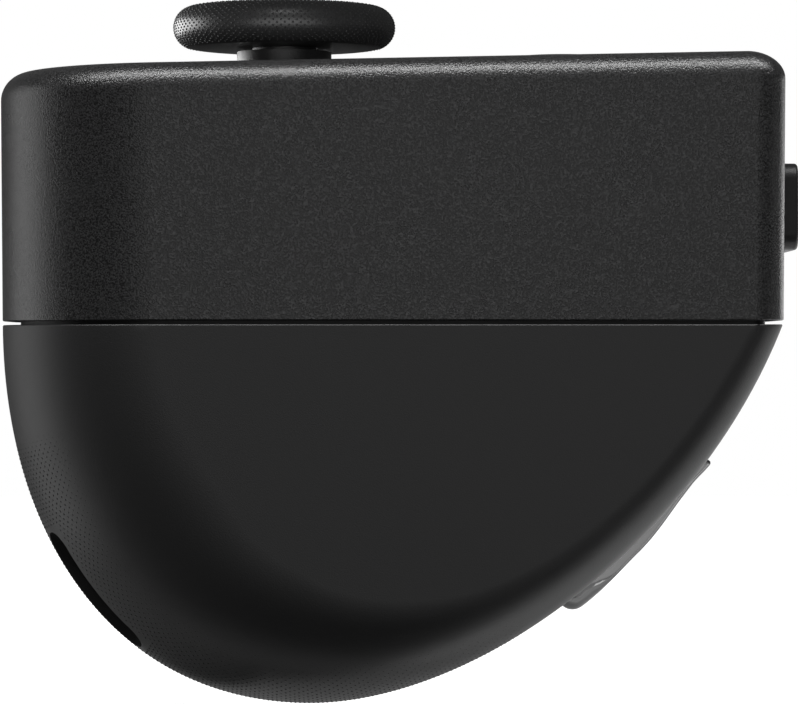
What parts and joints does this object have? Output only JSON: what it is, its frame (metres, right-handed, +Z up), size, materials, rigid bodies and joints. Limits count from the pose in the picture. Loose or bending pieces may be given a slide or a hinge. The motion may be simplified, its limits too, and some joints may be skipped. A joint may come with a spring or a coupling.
{
  "type": "vr motion controller",
  "caption": "Palm-sized motion controller: two moulded shells with a tilting thumbstick on top, press buttons, a hinged finger trigger, strap pockets in the heel and a charging port.",
  "frame": {"origin": "on the seam between the two shells, midway along their length and their width", "axes": "+X to the front, where the flat button and the trigger are; +Y to the side facing away in the picture; +Z up, out of the thumbstick"},
  "size_m": [0.0637, 0.034, 0.0562],
  "materials": {
    "upper_shell": "fine moulded grain, matte black",
    "lower_shell": "smooth satin black with small raised grip dots",
    "thumb_rubber": "matte black with small raised dots",
    "stick_plastic": "satin black",
    "button_plastic": "satin black",
    "trigger_gloss": "polished black",
    "steel": "plain bright steel",
    "spring_steel": "drawn wire",
    "board": "green solder mask",
    "chip": "moulded black",
    "socket_plastic": "natural nylon",
    "dome_rubber": "pale silicone",
    "light_lens": "milky clear",
    "cell": "foil pouch",
    "lead_rubber": "sleeved wire"
  },
  "bodies": {
    "body": {"upper_shell": "upper_shell", "lower_shell": "lower_shell", "stick_base": "stick_plastic", "tilt_sensor_pitch": "chip", "tilt_sensor_roll": "chip", "click_switch": "chip", "centering_spring": "spring_steel", "front_switch": "chip", "front_switch_board": "board", "face_button_near_dome": "dome_rubber", "face_button_far_dome": "dome_rubber", "menu_button_dome": "dome_rubber", "button_board": "board", "board_screw_1": "steel", "board_screw_2": "steel", "board_screw_3": "steel", "status_light": "light_lens", "trigger_pin": "steel", "trigger_spring": "spring_steel", "trigger_switch": "chip", "main_board": "board", "radio_shield": "steel", "processor_chip": "chip", "motion_sensor": "chip", "battery_socket": "socket_plastic", "usb_port": "steel", "usb_tongue": "chip", "battery": "cell", "battery_lead": "lead_rubber", "haptic_motor": "steel", "shell_screw_1": "steel", "shell_screw_2": "steel", "strap_pin_near": "steel", "strap_pin_far": "steel"},
    "gimbal": {"gimbal_ring": "steel"},
    "pivot": {"stick_pivot": "steel"},
    "stick": {"stick_cap": "thumb_rubber", "stick_post": "stick_plastic"},
    "front_button": {"front_button": "button_plastic"},
    "face_button_near": {"face_button_near": "button_plastic"},
    "face_button_far": {"face_button_far": "button_plastic"},
    "menu_button": {"menu_button": "button_plastic"},
    "trigger": {"trigger": "trigger_gloss"}
  },
  "joints": [
    {"name": "stick_roll", "type": "hinge", "parent": "body", "child": "gimbal", "pos_m": [-0.0084, 0, 0.0125], "axis": [1, 0, 0], "range_deg": [-15, 15], "stiffness_Nm_per_rad": 0.02},
    {"name": "stick_pitch", "type": "hinge", "parent": "gimbal", "child": "pivot", "pos_m": [-0.0084, 0, 0.0125], "axis": [0, 1, 0], "range_deg": [-15, 15], "stiffness_Nm_per_rad": 0.02},
    {"name": "stick_click", "type": "slide", "parent": "pivot", "child": "stick", "axis": [0, 0, -1], "range_m": [0, 0.0005], "stiffness_N_per_m": 2000},
    {"name": "front_button_press", "type": "slide", "parent": "body", "child": "front_button", "axis": [-1, 0, 0], "range_m": [0, 0.0006], "stiffness_N_per_m": 1500},
    {"name": "face_button_near_press", "type": "slide", "parent": "body", "child": "face_button_near", "axis": [0, 0, -1], "range_m": [0, 0.0006], "stiffness_N_per_m": 1000, "deforming": ["face_button_near_dome"]},
    {"name": "face_button_far_press", "type": "slide", "parent": "body", "child": "face_button_far", "axis": [0, 0, -1], "range_m": [0, 0.0006], "stiffness_N_per_m": 1000, "deforming": ["face_button_far_dome"]},
    {"name": "menu_button_press", "type": "slide", "parent": "body", "child": "menu_button", "axis": [0, 0, -1], "range_m": [0, 0.0005], "stiffness_N_per_m": 1000, "deforming": ["menu_button_dome"]},
    {"name": "trigger_pull", "type": "hinge", "parent": "body", "child": "trigger", "pos_m": [0.02125, 0, -0.00945], "axis": [0, 1, 0], "range_deg": [0, 10], "stiffness_Nm_per_rad": 0.12}
  ]
}
